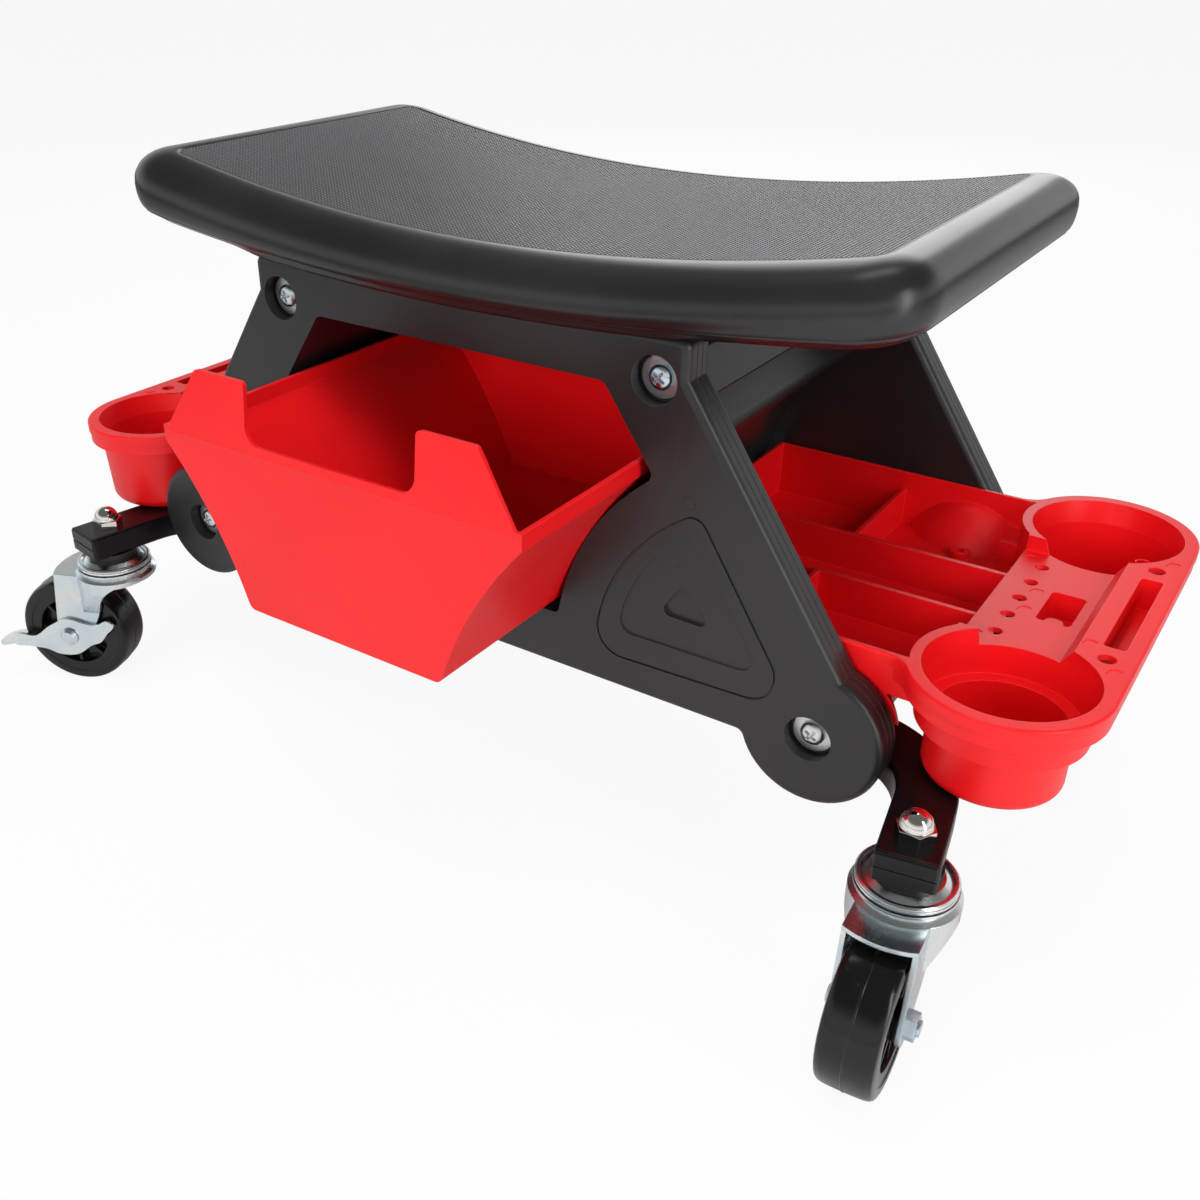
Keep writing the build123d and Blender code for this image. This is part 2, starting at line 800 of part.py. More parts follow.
def caster_arm():
    tube = swept(arm_w, arm_h, arm_corner, 0)
    tube -= swept(arm_w - 2 * arm_wall, arm_h - 2 * arm_wall, 0, touch)
    return tube - rod(king_r + loose, arm_top - arm_h, arm_top, pivot_x, -pivot_y)


def arm_plug():
    w, h = arm_w - 2 * arm_wall - touch, arm_h - 2 * arm_wall - touch
    cap = Box(arm_w, plug_cap, arm_h, align=(Align.CENTER, Align.MAX, Align.CENTER))
    cap = fillet(cap.edges().filter_by(Axis.Y), arm_corner)
    cap = chamfer(cap.faces().sort_by(Axis.Y)[0].edges(), plug_edge)
    back = (Align.CENTER, Align.MIN, Align.CENTER)
    cap -= Pos(0, -plug_cap, 0) * Box(arm_w, plug_groove, plug_groove, align=back)
    stem = Box(w, plug_long, h, align=back)
    core = Box(w - 2 * arm_wall, plug_long, h - 2 * arm_wall, align=back)
    plug = Pos(0, -arm_past, arm_top - arm_h / 2) * (cap + (stem - core))
    return Pos(pivot_x, -pivot_y, 0) * Rot(0, 0, arm_tilt) * plug


def cap_nut():
    hexagon = prism(RegularPolygon(nut_flats / 2, 6, major_radius=False), 0, nut_h)
    crown = turned((
        (0, 0), (nut_flats, 0), (nut_flats, nut_h - nut_chamfer - nut_chamfer),
        (nut_flats / 2 - nut_chamfer / 2, nut_h), (0, nut_h),
    ))
    body = hexagon & crown
    dome = Sphere(nut_dome_r) & rod(nut_dome_r, 0, nut_dome_r)
    body += Pos(0, 0, nut_h) * dome
    return Pos(0, 0, arm_top) * (body - rod(king_r + thread_play, 0, nut_deep))


# Kingpin, upper race and stem in one turned piece per caster

def race_stem():
    head_top = crown_top - sheet - touch
    stem_top = arm_top + nut_deep - stem_tip
    return turned((
        (0, head_top - king_head_t), (king_head_r, head_top - king_head_t), (king_head_r, head_top),
        (king_r, head_top), (king_r, crown_top + touch), (king_head_r, crown_top + touch),
        (king_head_r, race_flat), (race_r - race_rim, race_flat), (race_r - race_rim, race_low),
        (race_r, race_low), (race_r, race_groove_low), (race_r - race_groove, race_groove_low),
        (race_r - race_groove, race_groove_top), (race_r, race_groove_top),
        (race_r, race_rim_top - stem_tip), (race_r - stem_tip, race_rim_top),
        (race_r - race_rim, race_rim_top), (race_dip_r, race_dip), (race_seat_r, race_top),
        (king_r, race_top), (king_r, stem_top - stem_tip), (king_r - stem_tip, stem_top), (0, stem_top),
    ))


def seal_washer():
    low, high = race_top, arm_top - arm_h
    return rod(seal_r, low, high) - rod(king_r + touch, low, high)


# Caster pieces are drawn with the kingpin on the z axis and the trail along +X

def at_corner(shape, sx, sy, trail_deg):
    return Pos(sx * pivot_x, sy * pivot_y, 0) * Rot(0, 0, trail_deg) * shape


def fork():
    front = ThreePointArc((hood_front, -leg_out), (hood_front + hood_bulge, 0), (hood_front, leg_out))
    deep = leg_front_low + hood_bulge
    hood = make_face([
        Line((0, -leg_out), (hood_front, -leg_out)), front,
        Line((hood_front, leg_out), (0, leg_out)), Line((0, leg_out), (0, -leg_out)),
    ])
    legs = rect(0, deep, -leg_out, leg_out)
    inside = Circle(crown_r - sheet) + rect(0, 2 * deep, -leg_gap_half, leg_gap_half)
    low = axle_z - lug_r
    shell = prism(Circle(crown_r) + legs, low, hood_top) & flare(leg_out, crown_r)
    shell -= prism(legs - hood - Circle(crown_r), hood_top - sheet, hood_top)
    shell -= prism(inside, low, hood_top - sheet) & flare(leg_gap_half, crown_r - sheet)
    shell &= fork_side()
    neck = turned((
        (king_r + running, crown_top - sheet), (crown_neck_r - sheet, crown_top - sheet),
        (crown_r - sheet, hood_top - sheet), (crown_r, hood_top - sheet), (crown_r, hood_top),
        (crown_neck_r, crown_neck_z), (crown_lip_r, crown_top - crown_lip), (crown_lip_r, crown_top),
        (king_r + running, crown_top),
    ))
    shell -= rod(crown_r - sheet, hood_top - sheet, hood_top)
    shell += neck
    return shell - along_y(axle_r + touch, -leg_out, leg_out, trail, axle_z)


def flare(leg_half, crown_half):
    # Cross-section of the fork along the trail: straight legs that open out to the round crown
    half = [
        Line((0, 0), (leg_half, 0)),
        Line((leg_half, 0), (leg_half, flare_low)),
        Line((leg_half, flare_low), (crown_half, flare_high)),
        Line((crown_half, flare_high), (crown_half, crown_top)),
        Line((crown_half, crown_top), (0, crown_top)),
    ]
    return extrude(Plane.YZ.offset(-crown_r) * mirrored_face(half), amount=3 * crown_r)


def fork_side():
    # What is left of the fork's sides: a long curve up to the crown behind, a straight edge in front
    curve = [(s * wheel_r, axle_z + t * wheel_r) for s, t in leg_back_shares]
    back = Spline(*curve)
    tail_z = hood_low
    low_back = (trail - lug_r, axle_z)
    low_front = (trail + lug_r, axle_z)
    edges = [
        Line((-crown_r, crown_top), (-crown_r, tail_z)),
        Line((-crown_r, tail_z), curve[0]),
        back,
        Line(curve[-1], low_back),
        ThreePointArc(low_back, (trail, axle_z - lug_r), low_front),
        Line(low_front, (leg_front_low, leg_front_z)),
        Line((leg_front_low, leg_front_z), (hood_front, hood_top - sheet)),
        Line((hood_front, hood_top - sheet), (hood_front + hood_bulge, hood_top - sheet)),
        Line((hood_front + hood_bulge, hood_top - sheet), (hood_front + hood_bulge, crown_top)),
        Line((hood_front + hood_bulge, crown_top), (-crown_r, crown_top)),
    ]
    return slab(make_face(edges), -crown_r, crown_r)


def wheel():
    dish = wheel_half - dish_deep
    profile = [
        (bush_r, -bush_half + touch), (hub_r, -bush_half + touch), (hub_r, -dish), (dish_r, -dish),
        (dish_r + tread_groove, -wheel_half + ring_step), (ring_step_r, -wheel_half + ring_step),
        (ring_step_r, -wheel_half), (wheel_r - wheel_edge_r, -wheel_half),
        (wheel_r - wheel_edge_r / 4, -wheel_half + wheel_edge_r),
        (wheel_r, -tread_groove), (wheel_r - tread_groove, 0),
    ]
    profile += [(r, -z) for r, z in reversed(profile[:-1])]
    body = turned(profile)
    for index in range(rib_count):
        rib = prism(
            rect(hub_r - rib_thick / 2, dish_r + rib_thick / 2, -rib_thick / 2, rib_thick / 2),
            -wheel_half + rib_thick, wheel_half - rib_thick,
        )
        body += Rot(0, 0, index * 360 / rib_count) * rib
    return lay(body)


def lay(shape):
    # From the z axis to the axle, which runs along Y at the trail
    return Pos(trail, 0, axle_z) * Rot(90, 0, 0) * shape


def wheel_bush():
    return lay(rod(bush_r, -bush_half, bush_half) - rod(axle_r + running, -bush_half, bush_half))


def axle_bolt(brake):
    # The domed head is outside the brake lever, or on the far side of a plain caster
    seat_at = lever_off + lever_t + touch if brake else leg_out
    other = leg_out + axle_nut_h + axle_stub
    dome = turned(((0, 0), (head_r, 0), (head_r, head_h / 4), (head_r * 2 / 3, head_h * 4 / 5), (0, head_h)))
    bolt = rod(axle_r, -other, seat_at) + Pos(0, 0, seat_at) * dome
    turn = 180 if brake else 0
    return lay(Rot(turn, 0, 0) * bolt)


def axle_nut(brake):
    nut = prism(RegularPolygon(axle_nut_flats / 2, 6, major_radius=False), 0, axle_nut_h)
    nut -= rod(axle_r + thread_play, 0, axle_nut_h)
    turn = 0 if brake else 180
    return lay(Rot(turn, 0, 0) * Pos(0, 0, leg_out) * nut)


def brake_lever():
    outline = [(s * wheel_r, t * wheel_r) for s, t in lever_shares]
    plate = make_face(Spline(*outline, periodic=True))
    lever = slab(plate, lever_off, lever_off + lever_t)
    tongue = Pos((pedal_start + pedal_end) / 2, (pedal_in + lever_off + lever_t) / 2) * RectangleRounded(
        pedal_end - pedal_start, lever_off + lever_t - pedal_in, pedal_round,
    )
    pitch = math.degrees(math.atan2(pedal_drop, pedal_end - pedal_start))
    pedal = Pos(-pedal_start, 0, 0) * prism(tongue, -lever_t, 0)
    lever += Pos(pedal_start, 0, pedal_z) * Rot(0, pitch, 0) * pedal
    lever -= along_y(axle_r + running, lever_off, lever_off + lever_t, 0, 0)
    return Pos(trail, 0, axle_z) * lever


# Write every piece

frame = side_frame()
save("side_frame_front", frame)
save("side_frame_back", Rot(0, 0, 180) * frame)
save("seat", seat())
for name, sx in (("right", 1), ("left", -1)):
    save("upper_tube_" + name, cross_tube(sx * head_bolt_x, head_bolt_z, high_tube))
    save("lower_tube_" + name, cross_tube(sx * foot_x, foot_z, low_tube))
frame_screws, frame_washers = frame_fixings()
save("frame_screws", frame_screws)
save("frame_washers", frame_washers)
save("drawer_housing", housing())
save("drawer", drawer())
tray_right = tray()
save("tray_right", tray_right)
save("tray_left", Rot(0, 0, 180) * tray_right)

arm = caster_arm()
plug = arm_plug()
plugs, nuts, stems, seals = [], [], [], []
for (name, sx, sy, brake), trail_deg in zip(corners, trail_degrees):
    save("caster_arm_" + name, corner_turn(arm, sx, sy))
    plugs.append(corner_turn(plug, sx, sy))
    nuts.append(at_corner(cap_nut(), sx, sy, 0))
    stems.append(at_corner(race_stem(), sx, sy, 0))
    seals.append(at_corner(seal_washer(), sx, sy, 0))
    save("fork_" + name, at_corner(fork(), sx, sy, trail_deg))
    save("wheel_" + name, at_corner(wheel(), sx, sy, trail_deg))
    save("wheel_bush_" + name, at_corner(wheel_bush(), sx, sy, trail_deg))
    save("axle_bolt_" + name, at_corner(axle_bolt(brake), sx, sy, trail_deg))
    save("axle_nut_" + name, at_corner(axle_nut(brake), sx, sy, trail_deg))
    if brake:
        save("brake_lever_" + name, at_corner(brake_lever(), sx, sy, trail_deg))
save("arm_plugs", many(plugs))
save("cap_nuts", many(nuts))
save("kingpin_races", many(stems))
save("seal_washers", many(seals))
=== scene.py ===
import math

import bmesh
import bpy
from mathutils import Matrix, Vector


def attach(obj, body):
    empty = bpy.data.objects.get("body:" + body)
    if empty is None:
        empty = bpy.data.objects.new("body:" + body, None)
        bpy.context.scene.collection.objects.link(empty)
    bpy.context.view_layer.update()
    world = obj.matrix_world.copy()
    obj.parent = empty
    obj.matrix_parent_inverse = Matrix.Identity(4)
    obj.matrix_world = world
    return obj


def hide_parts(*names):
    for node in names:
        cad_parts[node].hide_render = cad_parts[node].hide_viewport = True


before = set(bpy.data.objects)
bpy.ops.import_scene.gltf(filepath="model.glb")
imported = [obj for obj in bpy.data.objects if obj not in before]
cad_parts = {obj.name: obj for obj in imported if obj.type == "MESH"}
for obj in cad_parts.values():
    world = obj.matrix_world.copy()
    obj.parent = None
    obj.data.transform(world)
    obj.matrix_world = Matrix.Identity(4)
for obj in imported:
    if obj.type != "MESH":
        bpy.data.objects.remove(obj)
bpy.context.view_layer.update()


# Side frames. Two hollow plates of black polyethylene, blow moulded in halves, so that
# a parting line runs round their rims. They carry the seat, the tubes and the trays.
# The surface is satin, with a fine grain and faint rings left by the mould's pins.

class Wire:
    """One output socket of a finish. Arithmetic on it adds Math nodes beside it."""

    def __init__(self, tree, socket=None):
        self.tree = tree
        self.socket = socket

    def node(self, kind, settings=None, inputs=None, out=0):
        made = self.tree.nodes.new("ShaderNode" + kind)
        for key, value in (settings or {}).items():
            setattr(made, key, value)
        for key, value in (inputs or {}).items():
            if isinstance(value, Wire):
                self.tree.links.new(value.socket, made.inputs[key])
            else:
                made.inputs[key].default_value = value
        return Wire(self.tree, made.outputs[out] if len(made.outputs) else None)

    def maths(self, operation, *values):
        return self.node("Math", {"operation": operation}, dict(enumerate(values)))

    def __add__(self, other):
        return self.maths("ADD", self, other)

    def __sub__(self, other):
        return self.maths("SUBTRACT", self, other)

    def __rsub__(self, other):
        return self.maths("SUBTRACT", other, self)

    def __mul__(self, other):
        return self.maths("MULTIPLY", self, other)

    def __truediv__(self, other):
        return self.maths("DIVIDE", self, other)

    def __pow__(self, other):
        return self.maths("POWER", self, other)

    def __abs__(self):
        return self.maths("ABSOLUTE", self)

    __radd__ = __add__
    __rmul__ = __mul__

    def lower(self, other):
        return self.maths("MINIMUM", self, other)

    def higher(self, other):
        return self.maths("MAXIMUM", self, other)

    def step(self, low, high):
        """0 below low, 1 above high, and a smooth rise between them."""
        return self.node("MapRange", {"interpolation_type": "SMOOTHSTEP"}, {0: self, 1: low, 2: high})

    def xyz(self):
        split = self.node("SeparateXYZ", inputs={0: self})
        sockets = split.socket.node.outputs
        return [Wire(self.tree, socket) for socket in sockets]

    def shifted(self, place):
        return self.node("VectorMath", {"operation": "SUBTRACT"}, {0: self, 1: place})

    def stretched(self, factors):
        return self.node("VectorMath", {"operation": "MULTIPLY"}, {0: self, 1: factors})

    def noise(self, scale, detail=3.0):
        return self.node("TexNoise", inputs={"Vector": self, "Scale": scale, "Detail": detail})

    def tint(self, colour, other):
        """A colour that goes from one to the other as this value goes from 0 to 1."""
        return self.node("Mix", {"data_type": "RGBA"}, {0: self, 6: colour, 7: other}, 2)

    def rounded(self, radius):
        return self.node("Bevel", {"samples": 6}, {"Radius": radius})

    def bumped(self, normal, distance):
        return self.node("Bump", inputs={
            "Height": self, "Normal": normal, "Distance": distance, "Strength": 1.0,
        })


def new_finish(name):
    material = bpy.data.materials.new(name)
    material.use_nodes = True
    material.node_tree.nodes.clear()
    return material, Wire(material.node_tree).node("TexCoord", out="Object")


def close_finish(point, inputs):
    shader = point.node("BsdfPrincipled", inputs=inputs)
    point.node("OutputMaterial", inputs={"Surface": shader})


# The finishes below paint their edges lighter through this mask, a painted highlight along every edge; the
# same mask also makes the edges a little rougher.
def edge_highlight_mask(point, rounded):
    """How much of an edge is near a spot: 0 on open surface, 1 on the edge itself."""
    flat = point.node("NewGeometry", out="Normal")
    alike = point.node("VectorMath", {"operation": "DOT_PRODUCT"}, {0: rounded, 1: flat}, "Value")
    return (1 - alike).step(0.0, 0.12)


def pin_rings(point, places, radius):
    """Thin raised rings round places in x and z, where a pin pushed the moulding out."""
    half_line = 0.0004
    x, _, z = point.xyz()
    rings = None
    for place_x, place_z in places:
        away = ((abs(x) - place_x) ** 2 + (z - place_z) ** 2) ** 0.5
        ring = 1 - (abs(away - radius) / half_line).lower(1.0)
        rings = ring if rings is None else rings.higher(ring)
    return rings


pin_ring_r = 0.0032
pin_places = ((0.146, 0.2405), (0.139, 0.207), (0.217, 0.105))


def moulded_black(name, marks=(), tone=1.0, rough=0.31, shine=0.5):
    material, point = new_finish(name)
    clouds = point.noise(9.0, 4.0)
    grain = point.noise(1400.0, 2.0)
    rounded = point.rounded(0.0005)
    edge_highlight = edge_highlight_mask(point, rounded)
    dark = (0.0095 * tone, 0.0090 * tone, 0.0095 * tone, 1)
    pale = (0.0150 * tone, 0.0140 * tone, 0.0145 * tone, 1)
    colour = clouds.step(0.35, 0.7).tint(dark, pale)
    height = grain * 0.5 + clouds * 0.5
    if marks:
        height = height + pin_rings(point, marks, pin_ring_r) * 1.5
    close_finish(point, {
        # Base colour: lighter grey along the edges, a painted highlight.
        "Base Color": (edge_highlight * 0.5).tint(colour, (0.060, 0.060, 0.063, 1)),
        "Roughness": rough + clouds * 0.14 + edge_highlight * 0.06,
        "Normal": height.bumped(rounded, 0.00007),
        "IOR": 1.5,
        "Specular IOR Level": shine,
    })
    return material


def dress(names, material):
    for name in names:
        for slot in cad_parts[name].material_slots:
            slot.material = material


frame_black = moulded_black("frame_black", pin_places)
dress(("side_frame_front", "side_frame_back"), frame_black)


# Cross tubes. Four welded steel tubes with a black powder coat hold the side frames
# apart: two square ones under the seat and two thinner ones between the frames' feet.

def powder_coat(name):
    material, point = new_finish(name)
    peel = point.noise(420.0, 1.0)
    dust = point.noise(60.0, 5.0).step(0.62, 0.8)
    rounded = point.rounded(0.0006)
    edge_highlight = edge_highlight_mask(point, rounded)
    close_finish(point, {
        # Base colour: grey along the edges, a painted highlight on the black coat.
        "Base Color": (edge_highlight * 0.4).tint((0.0040, 0.0038, 0.0042, 1), (0.025, 0.025, 0.026, 1)),
        "Roughness": 0.21 + dust * 0.12 + edge_highlight * 0.05,
        "Normal": peel.bumped(rounded, 0.00006),
        "Specular IOR Level": 0.26,
    })
    return material


tube_black = powder_coat("tube_black")
dress(("upper_tube_right", "upper_tube_left", "lower_tube_right", "lower_tube_left"), tube_black)


# Frame screws. Eight pan head screws of zinc plated steel with a cross recess, each on a
# flat washer at the bottom of a round sink in the frame, screwed into a cross tube.

def zinc_plate(name, bright=1.0, rough=0.26):
    material, point = new_finish(name)
    bloom = point.noise(45.0, 4.0)
    hue = point.shifted((0.3, 0.1, 0.2)).noise(28.0, 3.0)
    brush = point.stretched((1.0, 1.0, 9.0)).noise(520.0, 3.0)
    rounded = point.rounded(0.0005)
    edge_highlight = edge_highlight_mask(point, rounded)
    cold = [0.60 * bright, 0.70 * bright, 0.76 * bright, 1]
    warm = [0.74 * bright, 0.77 * bright, 0.76 * bright, 1]
    close_finish(point, {
        # Base colour: near white along the edges, a painted highlight.
        "Base Color": (edge_highlight * 0.5).tint(hue.step(0.35, 0.68).tint(cold, warm), (0.88, 0.89, 0.90, 1)),
        "Metallic": 1.0,
        "Roughness": rough + bloom.step(0.4, 0.75) * 0.16 + brush * 0.06,
        "Normal": (brush * 0.6 + bloom * 0.4).bumped(rounded, 0.00004),
    })
    return material


screw_foot_x, screw_foot_z = 0.219, 0.131
screw_head_x, screw_head_z = 0.123, 0.2985
screw_face = 0.1243
screw_r = 0.0064
screw_h = 0.0042
shank_r = 0.0035
shank_long = 0.0205
edge_high = 0.30 * screw_h
dome_round = 0.97
recess_deep = 0.0021
recess_foot = 0.75
cross_half_wide = 0.1
cross_half_long = 0.5
cross_turn = 35
cross_spread = 20
grid_cells = 9
screw_edge = 0.0003

screw_mesh = bmesh.new()
for x, z in ((screw_foot_x, screw_foot_z), (screw_head_x, screw_head_z)):
    for side in (1, -1):
        for turn in (0, 180):
            # Square grid drawn out to a round dome, with a cross of cells pushed down
            grid = bmesh.ops.create_grid(
                screw_mesh, x_segments=grid_cells, y_segments=grid_cells, size=1.0,
            )["verts"]
            faces = {face for vert in grid for face in vert.link_faces}
            cross = []
            for face in faces:
                mid = face.calc_center_median()
                near, far = sorted((abs(mid.x), abs(mid.y)))
                if near < cross_half_wide and far < cross_half_long:
                    cross.append(face)
            for vert in grid:
                u = vert.co.x * math.sqrt(1 - vert.co.y ** 2 / 2)
                v = vert.co.y * math.sqrt(1 - vert.co.x ** 2 / 2)
                dome = math.sqrt(max(0.0, 1 - dome_round * (u * u + v * v)))
                vert.co = Vector((u * screw_r, v * screw_r, edge_high + (screw_h - edge_high) * dome))
            pushed = bmesh.ops.extrude_face_region(screw_mesh, geom=cross)["geom"]
            deep = [item for item in pushed if isinstance(item, bmesh.types.BMVert)]
            bmesh.ops.delete(screw_mesh, geom=cross, context="FACES_ONLY")
            for vert in deep:
                vert.co = Vector((vert.co.x * recess_foot, vert.co.y * recess_foot, screw_h - recess_deep))
            rim = [edge for vert in grid for edge in vert.link_edges if edge.is_boundary]
            made = set(grid) | set(deep)
            for radius, height in ((screw_r, 0.0), (shank_r, 0.0), (shank_r, -shank_long)):
                rim = list(set(rim))
                drawn = bmesh.ops.extrude_edge_only(screw_mesh, edges=rim)["geom"]
                ring = [item for item in drawn if isinstance(item, bmesh.types.BMVert)]
                rim = [item for item in drawn if isinstance(item, bmesh.types.BMEdge)]
                for vert in ring:
                    flat = Vector((vert.co.x, vert.co.y)).normalized() * radius
                    vert.co = Vector((flat.x, flat.y, height))
                made |= set(ring)
            bmesh.ops.contextual_create(screw_mesh, geom=rim)
            half_turn = Matrix.Rotation(math.radians(turn), 4, "Z")
            hole = Matrix.Translation((side * x, -screw_face, z))
            outward = Matrix.Rotation(math.radians(90), 4, "X")
            driven = Matrix.Rotation(math.radians(cross_turn + cross_spread * side), 4, "Z")
            place = half_turn @ hole @ outward @ driven
            bmesh.ops.transform(screw_mesh, matrix=place, verts=list(made))
bmesh.ops.recalc_face_normals(screw_mesh, faces=screw_mesh.faces)


def piece(name, mesh, material, body, replaced=()):
    """Turns a finished bmesh into a piece of the stool that rides on a body."""
    data = bpy.data.meshes.new(name)
    mesh.to_mesh(data)
    mesh.free()
    for polygon in data.polygons:
        polygon.use_smooth = True
    data.materials.append(material)
    made = bpy.data.objects.new(name, data)
    bpy.context.scene.collection.objects.link(made)
    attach(made, body)
    if replaced:
        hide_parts(*replaced)
    return made


def softened(made, width, segments=2, angle=30):
    bevel = made.modifiers.new("edge", "BEVEL")
    bevel.limit_method = "ANGLE"
    bevel.angle_limit = math.radians(angle)
    bevel.width = width
    bevel.segments = segments
    bevel.harden_normals = True
    return made


screw_zinc = zinc_plate("screw_zinc", 0.95, 0.2)
screws = piece("pan_head_screws", screw_mesh, screw_zinc, "stool", ("frame_screws",))
softened(screws, screw_edge)
washer_zinc = zinc_plate("washer_zinc", 0.9, 0.3)
dress(("frame_washers",), washer_zinc)


# Caster arms. Four bent rectangular steel tubes, welded to the lower cross tubes, with the
# same black powder coat, and a moulded black plug pressed into each open end.

arm_black = powder_coat("arm_black")
for corner in ("front_right", "front_left", "back_left", "back_right"):
    dress(("caster_arm_" + corner,), arm_black)
plug_black = moulded_black("plug_black", tone=0.35, shine=0.3)
dress(("arm_plugs",), plug_black)


# Trays. One injection moulding of red polypropylene at each end, with bins, a deck of tool
# holes and two cups. Round pins that pushed it out of its mould left crescents on the deck.

def moulded_red(name):
    material, point = new_finish(name)
    flow = point.noise(14.0, 4.0)
    grain = point.noise(1100.0, 2.0)
    rounded = point.rounded(0.0006)
    edge_highlight = edge_highlight_mask(point, rounded)
    colour = flow.step(0.3, 0.75).tint((0.74, 0.0045, 0.0070, 1), (0.80, 0.0075, 0.0105, 1))
    close_finish(point, {
        # Base colour: paler red along the edges, a painted highlight.
        "Base Color": (edge_highlight * 0.35).tint(colour, (0.95, 0.08, 0.085, 1)),
        "Roughness": 0.33 + flow * 0.14 + edge_highlight * 0.06,
        "Normal": (grain * 0.4 + flow * 0.6).bumped(rounded, 0.00006),
        "IOR": 1.5,
        "Specular IOR Level": 0.42,
    })
    return material


tray_red = moulded_red("tray_red")
dress(("tray_right", "tray_left"), tray_red)

crescent_r = 0.0038
crescent_t = 0.0004
crescent_from = 50
crescent_sweep = 150
crescent_steps = 12
deck_z = 0.170
bar_z = 0.179
crescents = (
    (0.2706, 0.050, deck_z), (0.2706, -0.050, deck_z),
    (0.2842, 0.0112, deck_z), (0.2842, -0.0112, deck_z),
    (0.3240, -0.044, bar_z), (0.3405, -0.0656, bar_z),
    (0.3255, 0.0605, bar_z), (0.3405, 0.0656, bar_z),
)
for side, turn in (("right", 0), ("left", 180)):
    marks = bmesh.new()
    for x, y, z in crescents:
        bead = bmesh.ops.create_circle(marks, cap_ends=True, segments=8, radius=crescent_t)["verts"]
        stand = Matrix.Translation((x, y, z)) @ Matrix.Rotation(math.radians(crescent_from), 4, "Z")
        stand = stand @ Matrix.Translation((crescent_r, 0, 0)) @ Matrix.Rotation(math.radians(90), 4, "X")
        bmesh.ops.transform(marks, matrix=stand, verts=bead)
        edges = list({edge for vert in bead for edge in vert.link_edges})
        faces = list({face for vert in bead for face in vert.link_faces})
        bmesh.ops.spin(
            marks, geom=bead + edges + faces, cent=(x, y, z), axis=(0, 0, 1),
            angle=math.radians(crescent_sweep), steps=crescent_steps,
        )
    bmesh.ops.recalc_face_normals(marks, faces=marks.faces)
    about = Matrix.Rotation(math.radians(turn), 3, "Z")
    bmesh.ops.rotate(marks, cent=(0, 0, 0), matrix=about, verts=marks.verts)
    piece("deck_marks_" + side, marks, tray_red, "stool")


# Drawer housing. A black polyethylene sleeve between the side frames, with the outline of
# their opening and two skids on its floor for the drawer.

housing_black = moulded_black("housing_black")
dress(("drawer_housing",), housing_black)


# Drawer. One red polypropylene moulding that slides out to the front, with a tall leaning
# front panel that ends in two horns. Its front is plain.

drawer_red = moulded_red("drawer_red")
dress(("drawer",), drawer_red)


# Seat. A saddle of black polyethylene, hollow and open underneath, with a wide round rim whose
# lip hangs over the side frames, and with ribs and two pads that rest on the upper tubes. The
# panel inside the rim lies level with it and is cut by grooves into rows of small square studs.

saddle_r = 1.090
saddle_z = 0.3439
seat_shift = -0.0025
panel_half_x = 0.2205
panel_half_y = 0.1086
panel_corner = 0.0076
rim_wide_x = 0.0268
rim_wide_y = 0.0284
rim_high = 0.0205
rim_corner = 0.031
rim_degrees = (8, 16, 24, 32, 40, 48, 56, 64, 72, 80, 90)
skirt_r = 1.590
skirt_z = 0.3184
skirt_in = 0.0042
# For each loop of the skirt: how far in, how far down, and by how much the parting line stands out
skirt_loops = (
    (0.02, 0.20, 0.0), (0.08, 0.42, 0.0), (0.24, 0.66, 0.0), (0.52, 0.86, 0.0),
    (0.90, 0.975, 0.0), (0.94, 0.99, 0.0004), (1.0, 1.02, 0.0),
)
lip_high = 0.0043
lip_in_x = 0.006
lip_in_y = 0.0005
lip_lean = 0.0055
lip_flat_x = 0.125
lip_lean_x = 0.165
seat_wall = 0.0028
floor_sink = 0.0014
floor_loops = 24
ledge_gap = 0.0001
ledge_drop = 0.0003
corner_steps = 10
long_side = 0.1
side_cuts = 47


def saddle(x):
    return saddle_z + saddle_r - math.sqrt(saddle_r ** 2 - x ** 2)


def skirt_low(x):
    return skirt_z + skirt_r - math.sqrt(skirt_r ** 2 - x ** 2)


shell = bmesh.new()
bmesh.ops.create_grid(shell, x_segments=1, y_segments=1, size=1.0)
bmesh.ops.scale(shell, vec=(panel_half_x, panel_half_y, 1.0), verts=shell.verts)
bmesh.ops.bevel(
    shell, geom=list(shell.verts), offset=panel_corner, offset_type="OFFSET", affect="VERTICES",
    segments=corner_steps, profile=0.5, material=-1,
)
sides = [edge for edge in shell.edges if edge.calc_length() > long_side]
bmesh.ops.subdivide_edges(shell, edges=sides, cuts=side_cuts)
share = shell.verts.layers.float_vector.new("share")
way = shell.verts.layers.float_vector.new("way")
centre_x, centre_y = panel_half_x - panel_corner, panel_half_y - panel_corner
for vert in shell.verts:
    held_x = max(-centre_x, min(centre_x, vert.co.x))
    held_y = max(-centre_y, min(centre_y, vert.co.y))
    vert[share] = (held_x / centre_x, held_y / centre_y, 0)
    vert[way] = ((vert.co.x - held_x) / panel_corner, (vert.co.y - held_y) / panel_corner, 0)


def lay_loop(verts, half_x, half_y, corner, height):
    """Puts a loop on a rounded rectangle, each point at the height given for its place."""
    for vert in verts:
        x = vert[share].x * (half_x - corner) + vert[way].x * corner
        y = vert[share].y * (half_y - corner) + vert[way].y * corner
        vert.co = Vector((x, y, height(x)))


def draw_loop(mesh, edges):
    """Draws a new loop out of an open edge. The new points keep their place on the rectangle."""
    drawn = bmesh.ops.extrude_edge_only(mesh, edges=edges)["geom"]
    verts = [item for item in drawn if isinstance(item, bmesh.types.BMVert)]
    return verts, [item for item in drawn if isinstance(item, bmesh.types.BMEdge)]


def panel_floor(x):
    return saddle(x) - floor_sink


